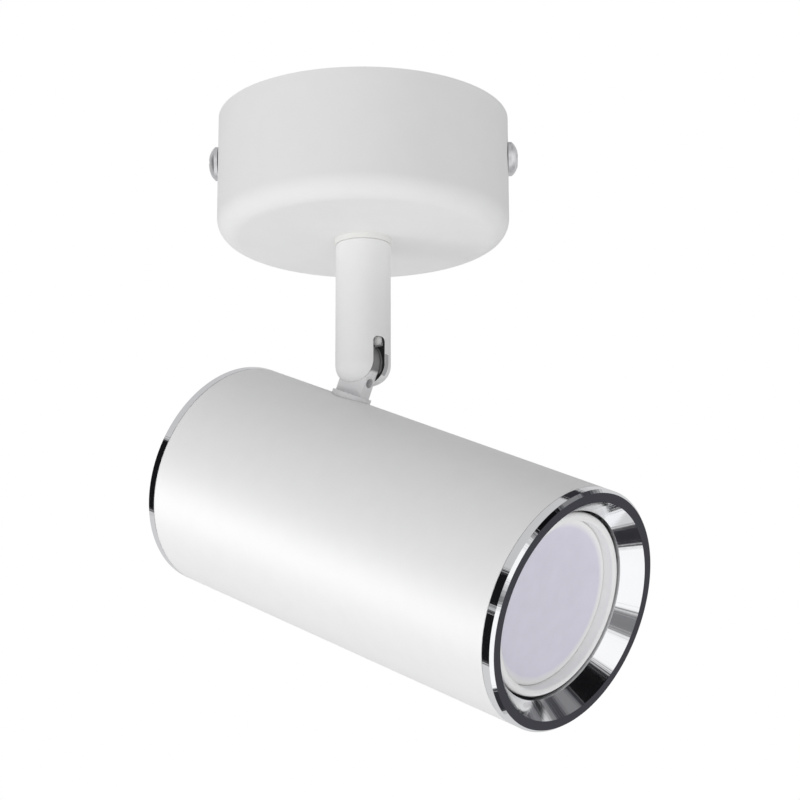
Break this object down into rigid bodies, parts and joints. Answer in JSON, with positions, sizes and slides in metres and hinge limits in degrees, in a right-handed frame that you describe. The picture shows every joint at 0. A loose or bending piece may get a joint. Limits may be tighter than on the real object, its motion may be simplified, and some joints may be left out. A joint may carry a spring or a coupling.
{
  "type": "wall and ceiling spotlight",
  "caption": "Surface-mounted spotlight: round canopy, short turning stem with a forked end, and a tubular lamp head that tilts on it, with chrome end rings and a reflector lamp.",
  "frame": {"origin": "centre of the canopy's back, on the ceiling or wall face, on top of the mounting bracket", "axes": "+Z out of the canopy's back into the ceiling, along the canopy's and the stem's axis; +X along the two screws in the side of the cover; the stem hangs towards -Z"},
  "size_m": [0.132, 0.1159, 0.1713],
  "materials": {
    "white_paint": "satin",
    "knuckle_paint": "satin",
    "chrome": "polished",
    "nickel_steel": "polished",
    "zinc_steel": "satin",
    "brass": "satin",
    "white_nylon": "satin",
    "white_sleeve": "matte",
    "brown_lead": "satin",
    "green_lead": "satin",
    "blue_lead": "satin",
    "holder_ceramic": "matte",
    "lamp_white": "gloss",
    "frosted_diffuser": "matte",
    "board_aluminium": "satin",
    "board_green": "satin",
    "led_phosphor": "matte"
  },
  "bodies": {
    "canopy": {"mounting_bracket": "zinc_steel", "canopy_cover": "white_paint", "cover_screws": "nickel_steel", "earth_washer": "zinc_steel", "earth_screw": "zinc_steel", "terminal_block": "white_nylon", "terminal_clamps": "brass", "terminal_screws": "zinc_steel", "terminal_fixing_screw": "zinc_steel", "live_lead": "brown_lead", "earth_lead": "green_lead", "neutral_lead": "blue_lead", "swivel_washer": "white_nylon", "stop_stud": "zinc_steel"},
    "stem": {"stem": "white_paint", "friction_washer": "white_nylon", "stem_nipple": "zinc_steel", "stop_washer": "zinc_steel", "disc_spring": "zinc_steel", "stem_nut": "zinc_steel", "nipple_bush": "white_nylon", "pivot_screw": "nickel_steel", "lead_sleeve": "white_sleeve"},
    "head": {"lamp_tube": "white_paint", "knuckle": "knuckle_paint", "front_bezel": "chrome", "rear_ring": "chrome", "rear_cap": "white_paint", "holder_bracket": "zinc_steel", "knuckle_washer": "zinc_steel", "knuckle_nut": "zinc_steel", "lampholder": "holder_ceramic", "holder_contacts": "brass", "holder_screws": "zinc_steel", "holder_lead": "white_sleeve", "lamp_housing": "lamp_white", "lamp_diffuser": "frosted_diffuser", "lamp_pins": "nickel_steel", "led_board": "board_aluminium", "led_chips": "led_phosphor", "driver_board": "board_green"}
  },
  "joints": [
    {"name": "stem_swivel", "type": "hinge", "parent": "canopy", "child": "stem", "pos_m": [0, 0, 0], "axis": [0, 0, 1], "range_deg": [-135.2, 204.8]},
    {"name": "head_tilt", "type": "hinge", "parent": "stem", "child": "head", "pos_m": [0, 0, -0.07], "axis": [0.5693, 0.8221, 0], "range_deg": [-68.5, 66.5]}
  ]
}
